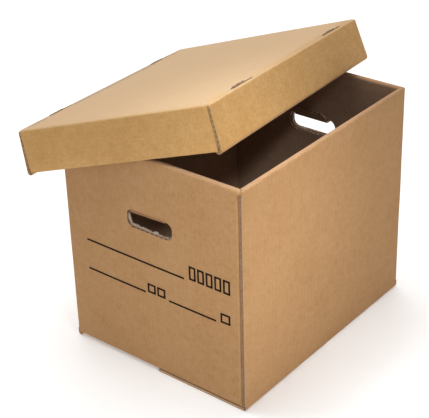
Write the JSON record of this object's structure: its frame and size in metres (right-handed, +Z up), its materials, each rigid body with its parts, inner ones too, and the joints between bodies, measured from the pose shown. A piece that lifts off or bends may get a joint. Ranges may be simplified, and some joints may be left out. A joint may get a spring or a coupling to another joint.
{
  "type": "archive box",
  "caption": "Corrugated archive box with double walls and hand holes in its ends, its tray lid resting askew across the open top.",
  "frame": {"origin": "on the floor, in the middle of the footprint of box and lid together", "axes": "+Z up; +X from the box's left side wall to its right side wall, seen from the front; +Y from the front end wall to the back end wall"},
  "size_m": [0.4036, 0.4426, 0.4209],
  "materials": {
    "body_board": "matte kraft",
    "lid_board": "matte kraft, more golden"
  },
  "bodies": {
    "root": {"box_body": "body_board", "box_lid": "lid_board"}
  },
  "joints": []
}
